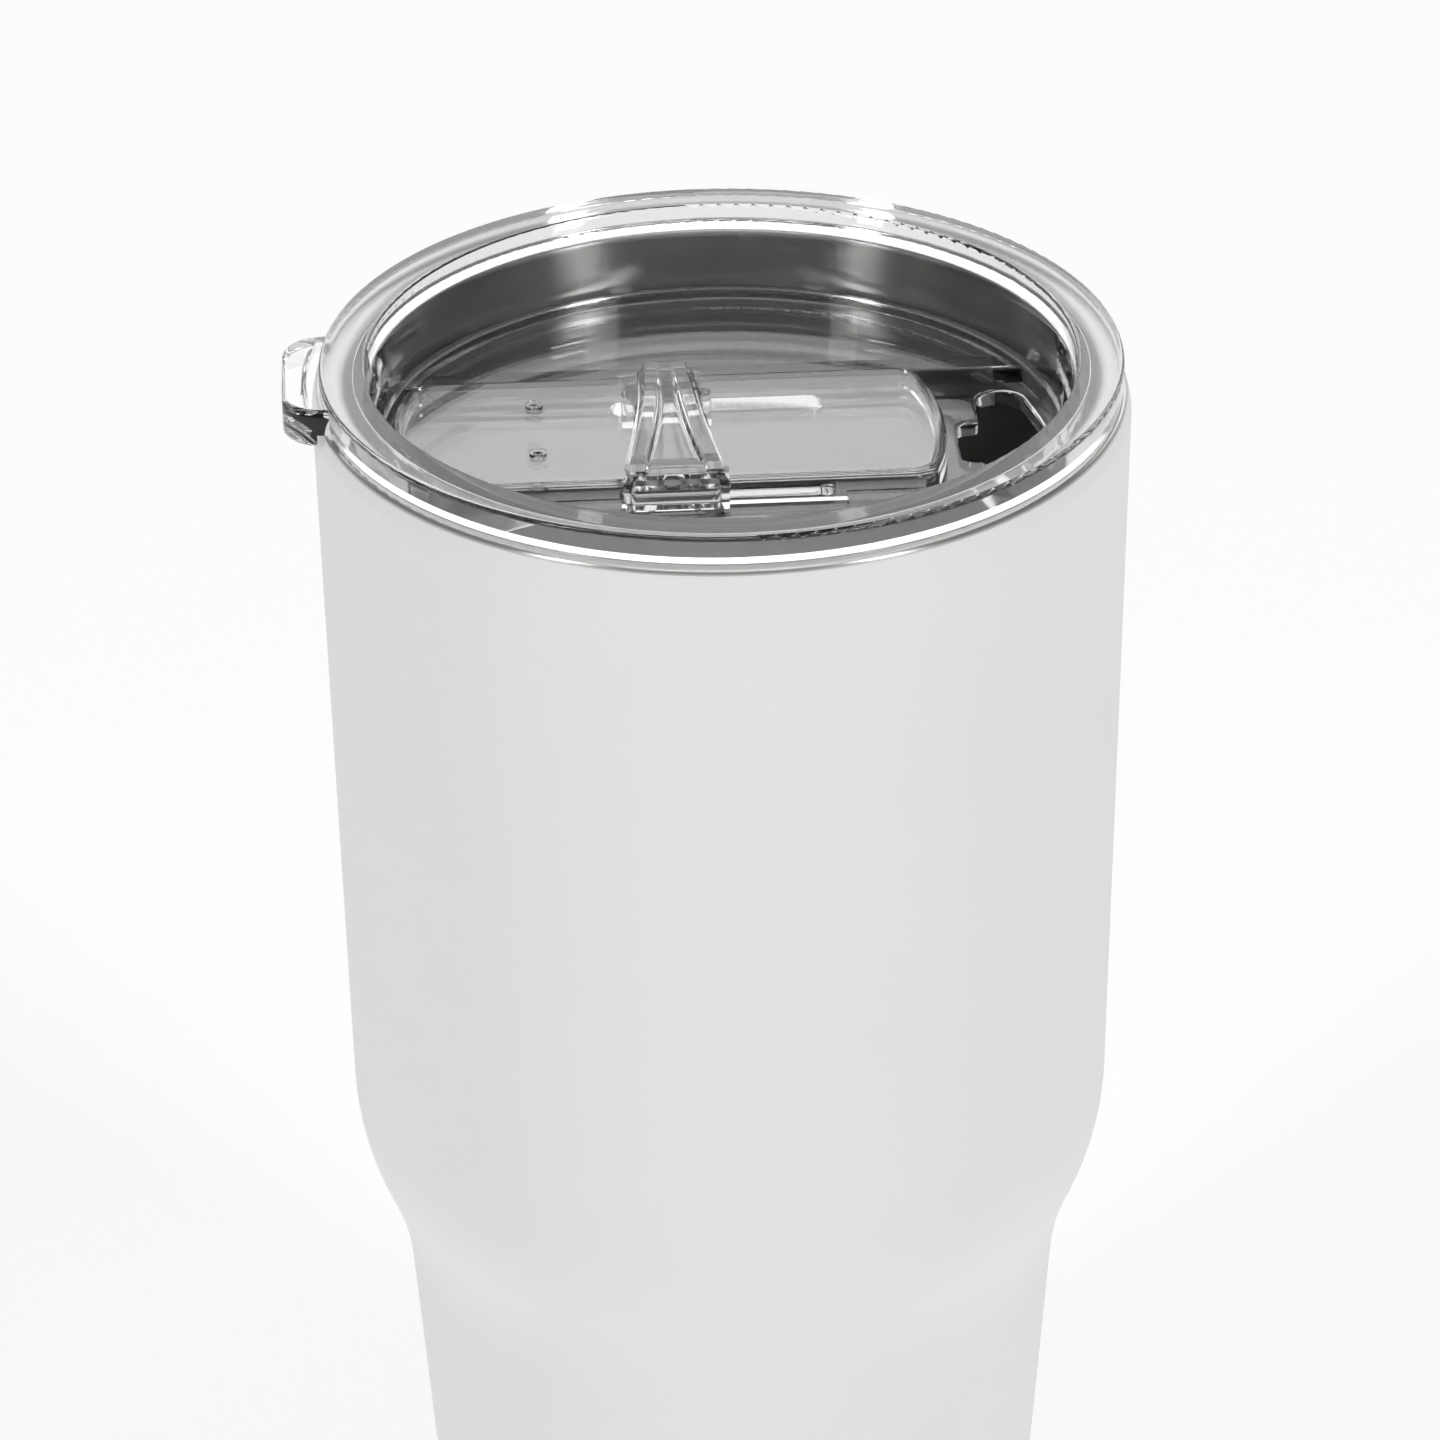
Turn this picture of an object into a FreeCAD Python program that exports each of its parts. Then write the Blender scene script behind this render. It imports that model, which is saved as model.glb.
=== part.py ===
import FreeCAD, Part
import math
import os

import Sketcher

# Insulated tumbler with a clear slide lid, in millimetres.
# The origin is the centre of the base on the surface that the cup stands on, +Z is up,
# and +X runs along the lid's slider towards the drink opening.
# Every length lives in the Sizes sheet, and every sketch and feature is bound to it.

sizes = {
    # cup, outside
    "base_radius": 36.7,
    "neck_radius": 42.71,
    "neck_height": 82.33,
    "neck_round": 43.0,
    "shoulder_radius": 48.66,
    "shoulder_height": 96.84,
    "shoulder_round": 35.0,
    "mouth_radius": 50.45,
    "mouth_height": 197.6,
    "mouth_round": 5.0,
    "lip_radius": 49.95,
    "lip_height": 200.0,
    "lip_plate": 0.6,
    "shell_wall": 0.8,
    "foot_width": 3.1,
    "foot_round": 1.6,
    "foot_inner_round": 1.0,
    # cup, base
    "pan_height": 2.4,
    "pan_wall": 0.8,
    "pan_rim_bottom": 0.3,
    "pan_round": 0.6,
    "port_dimple_radius": 5.0,
    "port_dimple_rise": 1.0,
    "port_hole_radius": 1.0,
    "seal_radius": 4.0,
    "seal_thickness": 0.8,
    "seal_round": 0.35,
    "cover_thickness": 0.6,
    "cover_clearance": 0.15,
    "cover_round": 0.4,
    # getter
    "getter_radius": 4.0,
    "getter_thickness": 1.6,
    "getter_offset": 16.0,
    "clip_wall": 0.4,
    "clip_ear": 3.5,
    "clip_half_width": 3.0,
    "clip_corner": 1.2,
    # liner
    "liner_wall": 0.6,
    "liner_gap": 5.4,
    "liner_mouth_radius": 46.2,
    "liner_taper": 1.3,
    "liner_foot_ease": 0.6,
    "liner_bottom": 12.0,
    "liner_lip_round": 1.4,
    "liner_lip_edge": 0.55,
    "liner_lip_under": 0.9,
    "dish_round": 5.0,
    "dish_rim": 2.0,
    "foil_wall": 0.2,
    "foil_clearance": 0.3,
    "foil_ease": 0.2,
    "foil_bottom": 108.0,
    "foil_top": 188.0,
    # lid
    "lid_gap": 0.3,
    "rim_radius": 49.5,
    "rim_height": 3.83,
    "rim_top_round": 0.6,
    "rim_under_round": 0.6,
    "well_mouth_radius": 43.9,
    "well_mouth_round": 0.5,
    "well_radius": 42.1,
    "ledge_depth": 7.0,
    "channel_depth": 2.2,
    "channel_half_width": 16.0,
    "floor_wall": 2.0,
    "plug_radius": 45.2,
    "plug_inner_radius": 43.0,
    "plug_depth": 12.0,
    "plug_round": 0.8,
    "plug_top_round": 0.3,
    "groove_radius": 44.2,
    "groove_bottom": 10.9,
    "groove_height": 3.0,
    "ledge_core_chord": 21.0,
    "ledge_core_radius": 41.2,
    "ledge_wall": 2.0,
    "tab_reach": 54.0,
    "tab_half_width": 11.05,
    "tab_top": 3.4,
    "tab_bottom": -1.45,
    "tab_root": 46.5,
    "tab_corner": 5.0,
    "tab_edge": 0.9,
    "tab_clear_radius": 51.0,
    "tab_clear_inside": 0.3,
    "tab_clear_below": 0.5,
    # drink opening in the channel floor
    "drink_inner": 32.4,
    "drink_outer": 38.0,
    "drink_crown": 41.4,
    "drink_crown_round": 30.0,
    "drink_half_width": 13.8,
    "drink_corner": 3.0,
    "notch_inner": 29.4,
    "notch_half_width": 5.5,
    "notch_corner": 1.7,
    "notch_mouth_corner": 1.0,
    "edge_round": 0.5,
    # guide slots and the grip's pocket
    "guide_back": -13.3,
    "guide_clearance": 0.6,
    "guide_near": 8.6,
    "guide_far": 12.8,
    "guide_corner": 1.8,
    "grip_pocket_far": 20.2,
    "grip_pocket_extra": 0.9,
    # gasket
    "gasket_fit": 0.05,
    "gasket_web": 0.9,
    "gasket_lip": 45.95,
    "gasket_lip_height": 0.7,
    "gasket_lip_round": 0.25,
    # slider
    "slider_travel": 13.5,
    "slider_gap": 0.3,
    "slider_height": 3.3,
    "slider_half_width": 15.3,
    "slider_end_radius": 42.4,
    "slider_back": -41.2,
    "slider_front": 27.8,
    "slider_corner": 4.0,
    "slider_edge": 1.6,
    "slider_wall": 1.6,
    "slider_top_wall": 1.4,
    "pip_offset": -23.0,
    "pip_spread": 6.6,
    "pip_radius": 1.1,
    "pip_height": 0.45,
    "pip_hollow": 0.6,
    "pip_hollow_depth": 0.8,
    "pip_root": 0.2,
    # thumb grip on the slider
    "grip_root": 1.2,
    "grip_web_step": 0.5,
    "grip_web_round": 1.2,
    "grip_crest_round": 0.45,
    "grip_dip_slope": 0.5,
    "grip_dip_round": 0.6,
    "grip_foot_left": -12.7,
    "grip_foot_right": -0.1,
    "grip_foot_front": 16.5,
    "grip_foot_back": 14.6,
    "grip_foot_top": 1.6,
    "leg_left": -12.0,
    "leg_right": -0.8,
    "leg_corner": 0.8,
    "leg_near": 9.2,
    "leg_far": 11.4,
    "leg_root": 0.6,
    "leg_drop": 3.8,
    "hook_far": 13.6,
    "hook_height": 1.2,
}

# the grip's cross-sections from the rear edge to the front, each measured from the slider's top
grip_measures = ("y", "left", "right", "top", "rail", "dip", "left_web", "right_web")
grip_stations = [
    (14.9, -8.9, -3.7, 1.6, 1.5, 0.2, 3.6, 2.2),
    (8.8, -9.2, -3.4, 1.6, 1.6, 0.6, 1.9, 1.5),
    (2.7, -9.7, -2.9, 1.65, 1.8, 0.9, 1.1, 1.1),
    (-3.2, -10.5, -2.3, 1.75, 1.9, 1.0, 0.9, 0.9),
    (-9.1, -11.4, -1.6, 1.85, 1.9, 1.0, 0.9, 0.9),
    (-15.9, -12.1, -0.8, 1.9, 1.7, 0.3, 0.9, 0.9),
]
for number, station in enumerate(grip_stations):
    for measure, value in zip(grip_measures, station):
        sizes[f"grip{number}_{measure}"] = value

doc = FreeCAD.newDocument("tumbler")
sheet = doc.addObject("Spreadsheet::Sheet", "Sizes")
for row, (alias, value) in enumerate(sizes.items(), start=1):
    sheet.set(f"A{row}", alias.replace("_", " "))
    sheet.set(f"B{row}", str(value))
    sheet.setAlias(f"B{row}", alias)
doc.recompute()


class Length:
    """A length in mm, kept with the sheet expression that gives it."""

    def __init__(self, number, text):
        self.number = float(number)
        self.text = text

    def __add__(self, other):
        other = length(other)
        return Length(self.number + other.number, f"({self.text} + {other.text})")

    def __sub__(self, other):
        other = length(other)
        return Length(self.number - other.number, f"({self.text} - {other.text})")

    def __neg__(self):
        return Length(-self.number, f"(-1 * {self.text})")


def length(value):
    """A Length from a sheet alias, a plain number or a Length."""
    if isinstance(value, Length):
        return value
    if isinstance(value, str):
        return Length(sheet.get(value), f"Sizes.{value}")
    return Length(value, str(value))


def bind(thing, name, value):
    """Bind one property of a feature to the sheet."""
    thing.setExpression(name, length(value).text)


def new_body(label):
    body = doc.addObject("PartDesign::Body", label)
    body.Label = label
    return body


def new_sketch(body, name, plane, offset=0.0):
    """A sketch on one of the body's origin planes, moved along the plane's normal by offset."""
    sketch = body.newObject("Sketcher::SketchObject", name)
    origin_plane = [f for f in body.Origin.OriginFeatures if f.Role == plane][0]
    sketch.AttachmentSupport = [(origin_plane, "")]
    sketch.MapMode = "FlatFace"
    bind(sketch, "AttachmentOffset.Base.z", offset)
    return sketch


def pin_point(sketch, geometry, point, x, y):
    """Fix one point of a sketch at (x, y), each bound to the sheet, or on an axis where it is zero."""
    for kind, axis, value in (("DistanceX", -2, x), ("DistanceY", -1, y)):
        if value.number == 0.0:
            sketch.addConstraint(Sketcher.Constraint("PointOnObject", geometry, point, axis))
        else:
            index = sketch.addConstraint(Sketcher.Constraint(kind, geometry, point, value.number))
            bind(sketch, f"Constraints[{index}]", value)


def draw_outline(sketch, corners):
    """Draw a closed outline through corners (x, y) or (x, y, radius); a radius rounds its corner."""
    places = [(length(c[0]), length(c[1])) for c in corners]
    rounds = [length(c[2]) if len(c) > 2 else None for c in corners]
    points = [FreeCAD.Vector(x.number, y.number, 0) for x, y in places]
    count = len(points)
    arrive, leave = list(points), list(points)
    arcs = {}
    for i, point in enumerate(points):
        if rounds[i] is None:
            continue
        back = (points[i - 1] - point).normalize()
        ahead = (points[(i + 1) % count] - point).normalize()
        half = back.getAngle(ahead) / 2
        reach = rounds[i].number / math.tan(half)
        arrive[i] = point + back * reach
        leave[i] = point + ahead * reach
        centre = point + (back + ahead).normalize() * (rounds[i].number / math.sin(half))
        left_turn = back.cross(ahead).z < 0
        first, last = (arrive[i], leave[i]) if left_turn else (leave[i], arrive[i])
        start = math.atan2(first.y - centre.y, first.x - centre.x)
        sweep = (math.atan2(last.y - centre.y, last.x - centre.x) - start) % (2 * math.pi)
        circle = Part.Circle(centre, FreeCAD.Vector(0, 0, 1), rounds[i].number)
        arcs[i] = (Part.ArcOfCircle(circle, start, start + sweep), left_turn)
    for i in range(count):
        sketch.addGeometry(Part.LineSegment(leave[i], arrive[(i + 1) % count]), False)
    for i in range(count):
        before = (i - 1) % count
        if i not in arcs:
            sketch.addConstraint(Sketcher.Constraint("Coincident", before, 2, i, 1))
            pin_point(sketch, i, 1, *places[i])
            continue
        shape, left_turn = arcs[i]
        arc = sketch.addGeometry(shape, False)
        corner = sketch.addGeometry(Part.Point(points[i]), True)
        first, last = (1, 2) if left_turn else (2, 1)
        sketch.addConstraint(Sketcher.Constraint("Tangent", before, 2, arc, first))
        sketch.addConstraint(Sketcher.Constraint("Tangent", i, 1, arc, last))
        sketch.addConstraint(Sketcher.Constraint("PointOnObject", corner, 1, before))
        sketch.addConstraint(Sketcher.Constraint("PointOnObject", corner, 1, i))
        pin_point(sketch, corner, 1, *places[i])
        index = sketch.addConstraint(Sketcher.Constraint("Radius", arc, rounds[i].number))
        bind(sketch, f"Constraints[{index}]", rounds[i])


def draw_lens(sketch, left_centre, right_centre, radius, half_width):
    """Draw two straight sides at +-half_width, closed by an arc at each end, centred on the X axis."""
    left, right = length(left_centre), length(right_centre)
    radius, half_width = length(radius), length(half_width)
    angle = math.asin(half_width.number / radius.number)
    reach = radius.number * math.cos(angle)
    width = half_width.number
    corner = FreeCAD.Vector
    sketch.addGeometry(Part.LineSegment(corner(left.number - reach, -width, 0),
                                        corner(right.number + reach, -width, 0)), False)
    sketch.addGeometry(Part.LineSegment(corner(right.number + reach, width, 0),
                                        corner(left.number - reach, width, 0)), False)
    for centre, middle in ((right, 0.0), (left, math.pi)):
        circle = Part.Circle(corner(centre.number, 0, 0), corner(0, 0, 1), radius.number)
        sketch.addGeometry(Part.ArcOfCircle(circle, middle - angle, middle + angle), False)
    for joined in ((0, 2, 2, 1), (2, 2, 1, 1), (1, 2, 3, 1), (3, 2, 0, 1)):
        sketch.addConstraint(Sketcher.Constraint("Coincident", *joined))
    sketch.addConstraint(Sketcher.Constraint("Horizontal", 0))
    sketch.addConstraint(Sketcher.Constraint("Horizontal", 1))
    for line, side in ((0, -half_width), (1, half_width)):
        index = sketch.addConstraint(Sketcher.Constraint("DistanceY", line, 1, side.number))
        bind(sketch, f"Constraints[{index}]", side)
    for arc, centre in ((2, right), (3, left)):
        pin_point(sketch, arc, 3, centre, length(0))
        index = sketch.addConstraint(Sketcher.Constraint("Radius", arc, radius.number))
        bind(sketch, f"Constraints[{index}]", radius)


def draw_segment(sketch, radius, chord):
    """Draw the part of a disc about the origin that lies beyond the line y = chord."""
    radius, chord = length(radius), length(chord)
    side = math.copysign(1.0, chord.number)
    angle = math.acos(abs(chord.number) / radius.number)
    middle = side * math.pi / 2
    reach = radius.number * math.sin(angle)
    corner = FreeCAD.Vector
    circle = Part.Circle(corner(0, 0, 0), corner(0, 0, 1), radius.number)
    sketch.addGeometry(Part.ArcOfCircle(circle, middle - angle, middle + angle), False)
    sketch.addGeometry(Part.LineSegment(corner(-side * reach, chord.number, 0),
                                        corner(side * reach, chord.number, 0)), False)
    sketch.addConstraint(Sketcher.Constraint("Coincident", 0, 2, 1, 1))
    sketch.addConstraint(Sketcher.Constraint("Coincident", 1, 2, 0, 1))
    sketch.addConstraint(Sketcher.Constraint("Coincident", 0, 3, -1, 1))
    sketch.addConstraint(Sketcher.Constraint("Horizontal", 1))
    index = sketch.addConstraint(Sketcher.Constraint("Radius", 0, radius.number))
    bind(sketch, f"Constraints[{index}]", radius)
    index = sketch.addConstraint(Sketcher.Constraint("DistanceY", 1, 1, chord.number))
    bind(sketch, f"Constraints[{index}]", chord)


def draw_circle(sketch, x, y, radius):
    """Draw one circle about (x, y)."""
    x, y, radius = length(x), length(y), length(radius)
    circle = Part.Circle(FreeCAD.Vector(x.number, y.number, 0), FreeCAD.Vector(0, 0, 1), radius.number)
    shape = sketch.addGeometry(circle, False)
    pin_point(sketch, shape, 3, x, y)
    index = sketch.addConstraint(Sketcher.Constraint("Radius", shape, radius.number))
    bind(sketch, f"Constraints[{index}]", radius)


def box_corners(low_x, high_x, low_y, high_y, *radius):
    """The four corners of a rectangle for draw_outline."""
    return [(low_x, low_y, *radius), (high_x, low_y, *radius),
            (high_x, high_y, *radius), (low_x, high_y, *radius)]


def revolve(body, name, corners):
    """Turn a profile of (radius, height) corners a full turn about the Z axis."""
    sketch = new_sketch(body, f"{name}_profile", "XZ_Plane")
    draw_outline(sketch, corners)
    feature = body.newObject("PartDesign::Revolution", name)
    feature.Profile = sketch
    feature.ReferenceAxis = (sketch, ["V_Axis"])
    feature.Angle = 360
    sketch.Visibility = False
    return feature


def pad(body, name, height, size, draw, *values):
    """Add a prism that rises by size from the plane at height; draw makes its outline."""
    sketch = new_sketch(body, f"{name}_outline", "XY_Plane", height)
    draw(sketch, *values)
    feature = body.newObject("PartDesign::Pad", name)
    feature.Profile = sketch
    bind(feature, "Length", size)
    return feature


def pocket(body, name, height, size, upward, draw, *values):
    """Cut a prism that goes up or down by size from the plane at height, and check that it cut."""
    doc.recompute()
    before = body.Shape.Volume
    sketch = new_sketch(body, f"{name}_outline", "XY_Plane", height)
    draw(sketch, *values)
    feature = body.newObject("PartDesign::Pocket", name)
    feature.Profile = sketch
    feature.Reversed = upward
    bind(feature, "Length", size)
    doc.recompute()
    if body.Shape.Volume > before - 0.5:
        raise RuntimeError(f"{name} removed nothing")
    return feature


def round_edges(body, name, radius, chosen):
    """Round the edges of the body's tip for which chosen(edge) is true."""
    doc.recompute()
    tip = body.Tip
    names = [f"Edge{i}" for i, edge in enumerate(tip.Shape.Edges, start=1) if chosen(edge)]
    if not names:
        raise RuntimeError(f"{name} found no edge")
    feature = body.newObject("PartDesign::Fillet", name)
    feature.Base = (tip, names)
    bind(feature, "Radius", radius)
    doc.recompute()
    return feature


def spans(edge, axis, low, high):
    """Does the edge's box lie between low and high along axis?"""
    box = edge.BoundBox
    ends = {"x": (box.XMin, box.XMax), "y": (box.YMin, box.YMax), "z": (box.ZMin, box.ZMax)}[axis]
    return ends[0] > low - 0.01 and ends[1] < high + 0.01


# Heights that several pieces share
lip = length("lip_height")
seat = lip + "lid_gap"
ledge = lip - "ledge_depth"
channel = ledge - "channel_depth"
underside = channel - "floor_wall"
slider_base = channel + "slider_gap"
slider_top = slider_base + "slider_height"
guide_front = length("leg_right") + "slider_travel" + "guide_clearance"


# ---- Cup ----

def make_outer_shell():
    """Powder-coated outer shell: a straight foot, an S-shaped shoulder and a tapered upper wall."""
    body = new_body("outer_shell")
    wall = length("shell_wall")
    outside = [
        (length("base_radius"), 0.0, "foot_round"),
        (length("neck_radius"), "neck_height", "neck_round"),
        (length("shoulder_radius"), "shoulder_height", "shoulder_round"),
        (length("mouth_radius"), "mouth_height", "mouth_round"),
    ]
    inside = [(r - wall, height, radius) for r, height, radius in reversed(outside[1:])]
    top = lip - "lip_plate"
    foot_edge = length("base_radius") - "foot_width"
    corners = [(foot_edge, 0.0), *outside, ("lip_radius", top), (length("lip_radius") - wall, top),
               *inside, (length("base_radius") - wall, wall, "foot_inner_round"), (foot_edge, wall)]
    revolve(body, "shell", corners)


def make_outer_base():
    """Pressed pan welded inside the foot, with a dimple round the evacuation port at its centre."""
    body = new_body("outer_base")
    edge = length("base_radius") - "foot_width" - "gasket_fit"
    wall = length("pan_wall")
    low = length("pan_height")
    revolve(body, "pan", [
        ("port_hole_radius", low + "port_dimple_rise"),
        ("port_dimple_radius", low + "port_dimple_rise"),
        ("port_dimple_radius", low),
        (edge - wall, low),
        (edge - wall, "pan_rim_bottom"),
        (edge, "pan_rim_bottom"),
        (edge, low + wall, "pan_round"),
        (length("port_dimple_radius") + wall, low + wall),
        (length("port_dimple_radius") + wall, low + wall + "port_dimple_rise"),
        ("port_hole_radius", low + wall + "port_dimple_rise"),
    ])


def make_port_seal():
    """Bead of glass solder that closes the evacuation port from below."""
    body = new_body("vacuum_port_seal")
    top = length("pan_height") + "port_dimple_rise"
    revolve(body, "bead", [
        (0.0, top - "seal_thickness"),
        ("seal_radius", top - "seal_thickness", "seal_round"),
        ("seal_radius", top),
        (0.0, top),
    ])


def make_base_cover():
    """Thin steel disc bonded under the pan, over the port."""
    body = new_body("base_cover")
    top = length("pan_height")
    radius = length("base_radius") - "foot_width" - "gasket_fit" - "pan_wall" - "cover_clearance"
    revolve(body, "disc", [
        (0.0, top - "cover_thickness"),
        (radius, top - "cover_thickness", "cover_round"),
        (radius, top),
        (0.0, top),
    ])


def make_getter():
    """Getter pellet that keeps the vacuum, with the strip that holds it on the pan."""
    seat_height = length("pan_height") + "pan_wall"
    clip = new_body("getter_clip")
    ring = length("getter_radius") + "clip_wall" + "gasket_fit"
    ear = ring + "clip_ear"
    pad(clip, "strip", seat_height, "clip_wall", draw_outline,
        box_corners(length("getter_offset") - ear, length("getter_offset") + ear,
                    -length("clip_half_width"), "clip_half_width", "clip_corner"))
    pad(clip, "cup", seat_height, length("getter_thickness") + "clip_wall",
        draw_circle, "getter_offset", 0.0, ring)
    pocket(clip, "cup_hollow", seat_height + "clip_wall", "getter_thickness", True,
           draw_circle, "getter_offset", 0.0, length("getter_radius") + "gasket_fit")
    pellet = new_body("getter")
    pad(pellet, "pellet", seat_height + "clip_wall", length("getter_thickness") - "gasket_fit",
        draw_circle, "getter_offset", 0.0, "getter_radius")


def liner_inside():
    """The corners of the liner's inner face, from its bottom edge up to its mouth."""
    gap = length("liner_gap")
    return [
        (length("neck_radius") - gap, "neck_height", "neck_round"),
        (length("liner_mouth_radius") - "liner_taper", "shoulder_height", "shoulder_round"),
    ]


def make_inner_liner():
    """Brushed steel liner, whose rolled lip closes the vacuum wall and stays bare."""
    body = new_body("inner_liner")
    wall = length("liner_wall")
    bottom_radius = length("base_radius") - "liner_gap" + "liner_foot_ease"
    under_lip = lip - "lip_plate"
    inside = liner_inside()
    outside = [(r + wall, height, radius) for r, height, radius in inside]
    mouth = length("liner_mouth_radius")
    revolve(body, "liner", [
        (bottom_radius + wall, "liner_bottom"),
        *outside,
        (mouth + wall, under_lip, "liner_lip_under"),
        ("lip_radius", under_lip),
        ("lip_radius", lip, "liner_lip_edge"),
        (mouth, lip, "liner_lip_round"),
        *reversed(inside),
        (bottom_radius, "liner_bottom"),
    ])


def make_inner_bottom():
    """Dished disc welded inside the lower end of the liner, turned up at its edge."""
    body = new_body("inner_bottom")
    wall = length("liner_wall")
    edge = length("base_radius") - "liner_gap" + "liner_foot_ease" - "gasket_fit"
    low = length("liner_bottom")
    revolve(body, "dish", [
        (0.0, low),
        (edge, low, "dish_round"),
        (edge, low + "dish_round" + "dish_rim"),
        (edge - wall, low + "dish_round" + "dish_rim"),
        (edge - wall, low + wall, length("dish_round") - wall),
        (0.0, low + wall),
    ])


def make_foil():
    """Copper radiation foil round the upper wall of the liner, inside the vacuum."""
    body = new_body("liner_foil")
    wall = length("foil_wall")
    upper = length("liner_mouth_radius") + "liner_wall" + "foil_clearance"
    lower = upper - "liner_taper" + "foil_ease"
    revolve(body, "foil", [
        (lower, "foil_bottom"),
        (lower + wall, "foil_bottom"),
        (upper + wall, "foil_top"),
        (upper, "foil_top"),
    ])


# ---- Lid ----

def make_lid_body():
    """Clear lid: rim, plug with a gasket groove, two raised ledges and the slider's channel."""
    body = new_body("lid_body")
    groove = lip - "groove_bottom"
    revolve(body, "lid", [
        (0.0, underside),
        ("plug_inner_radius", underside),
        ("plug_inner_radius", lip - "plug_depth"),
        ("plug_radius", lip - "plug_depth", "plug_round"),
        ("plug_radius", groove),
        ("groove_radius", groove),
        ("groove_radius", groove + "groove_height"),
        ("plug_radius", groove + "groove_height"),
        ("plug_radius", seat, "plug_top_round"),
        ("rim_radius", seat, "rim_under_round"),
        ("rim_radius", seat + "rim_height", "rim_top_round"),
        ("well_mouth_radius", seat + "rim_height", "well_mouth_round"),
        ("well_radius", ledge),
        (0.0, ledge),
    ])
    pad(body, "tab", lip + "tab_bottom", length("tab_top") - "tab_bottom", draw_outline, [
        (-length("tab_root"), -length("tab_half_width")),
        (-length("tab_root"), "tab_half_width"),
        (-length("tab_reach"), "tab_half_width", "tab_corner"),
        (-length("tab_reach"), -length("tab_half_width"), "tab_corner"),
    ])
    clear_groove(body)
    pocket(body, "channel", ledge, "channel_depth", False,
           draw_lens, 0.0, 0.0, "well_radius", "channel_half_width")
    for side, name in ((1, "rear"), (-1, "front")):
        chord = length("ledge_core_chord") if side > 0 else -length("ledge_core_chord")
        pocket(body, f"ledge_core_{name}", underside, ledge - "ledge_wall" - underside, True,
               draw_segment, "ledge_core_radius", chord)
    pocket(body, "grip_pocket", ledge, "channel_depth", False, draw_outline,
           box_corners("guide_back", guide_front + "grip_pocket_extra",
                       -length("grip_pocket_far"), -length("guide_far")))
    pocket(body, "drink_opening", channel, "floor_wall", False, draw_outline, [
        ("drink_inner", "drink_half_width", "drink_corner"),
        ("drink_inner", "notch_half_width", "notch_mouth_corner"),
        ("notch_inner", "notch_half_width", "notch_corner"),
        ("notch_inner", -length("notch_half_width"), "notch_corner"),
        ("drink_inner", -length("notch_half_width"), "notch_mouth_corner"),
        ("drink_inner", -length("drink_half_width"), "drink_corner"),
        ("drink_outer", -length("drink_half_width"), "drink_corner"),
        ("drink_crown", 0.0, "drink_crown_round"),
        ("drink_outer", "drink_half_width", "drink_corner"),
    ])
    for name, low, high in (("rear", length("guide_near"), length("guide_far")),
                            ("front", -length("guide_far"), -length("guide_near"))):
        pocket(body, f"guide_{name}", channel, "floor_wall", False, draw_outline,
               box_corners("guide_back", guide_front, low, high, "guide_corner"))
    round_lid(body)


def clear_groove(body):
    """Cut the tab's underside back from the cup's lip."""
    doc.recompute()
    sketch = new_sketch(body, "tab_relief_profile", "XZ_Plane")
    draw_outline(sketch, box_corners(length("plug_radius") + "tab_clear_inside", "tab_clear_radius",
                                     lip + "tab_bottom" - "tab_clear_below", seat))
    before = body.Shape.Volume
    feature = body.newObject("PartDesign::Groove", "tab_relief")
    feature.Profile = sketch
    feature.ReferenceAxis = (sketch, ["V_Axis"])
    feature.Angle = 360
    doc.recompute()
    if body.Shape.Volume > before - 0.5:
        raise RuntimeError("tab_relief removed nothing")


def round_lid(body):
    """Soften the moulded edges of the lid's floor, opening and tab."""
    width = sizes["channel_half_width"]
    floor = channel.number
    round_edges(body, "ledge_rounds", "edge_round", lambda edge:
                spans(edge, "z", ledge.number, ledge.number)
                and (spans(edge, "y", width, width) or spans(edge, "y", -width, -width)))
    round_edges(body, "opening_rounds", "edge_round", lambda edge:
                spans(edge, "z", floor, floor)
                and spans(edge, "x", sizes["notch_inner"], sizes["drink_crown"])
                and spans(edge, "y", -sizes["drink_half_width"], sizes["drink_half_width"]))
    tab_faces = (lip.number + sizes["tab_top"], lip.number + sizes["tab_bottom"])
    round_edges(body, "tab_rounds", "tab_edge", lambda edge:
                spans(edge, "x", -sizes["tab_reach"], -sizes["tab_root"])
                and any(spans(edge, "z", height, height) for height in tab_faces)
                and edge.BoundBox.YLength < 2 * sizes["tab_half_width"])


def make_gasket():
    """Silicone ring in the plug's groove, with two thin lips against the liner."""
    body = new_body("lid_gasket")
    low = lip - "groove_bottom" + "gasket_fit"
    high = low + "groove_height" - "gasket_fit" - "gasket_fit"
    inner = length("groove_radius") + "gasket_fit"
    web = inner + "gasket_web"
    thick = length("gasket_lip_height")
    revolve(body, "ring", [
        (inner, low),
        ("gasket_lip", low, "gasket_lip_round"),
        ("gasket_lip", low + thick, "gasket_lip_round"),
        (web, low + thick),
        (web, high - thick),
        ("gasket_lip", high - thick, "gasket_lip_round"),
        ("gasket_lip", high, "gasket_lip_round"),
        (inner, high),
    ])


# ---- Slider ----

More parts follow.
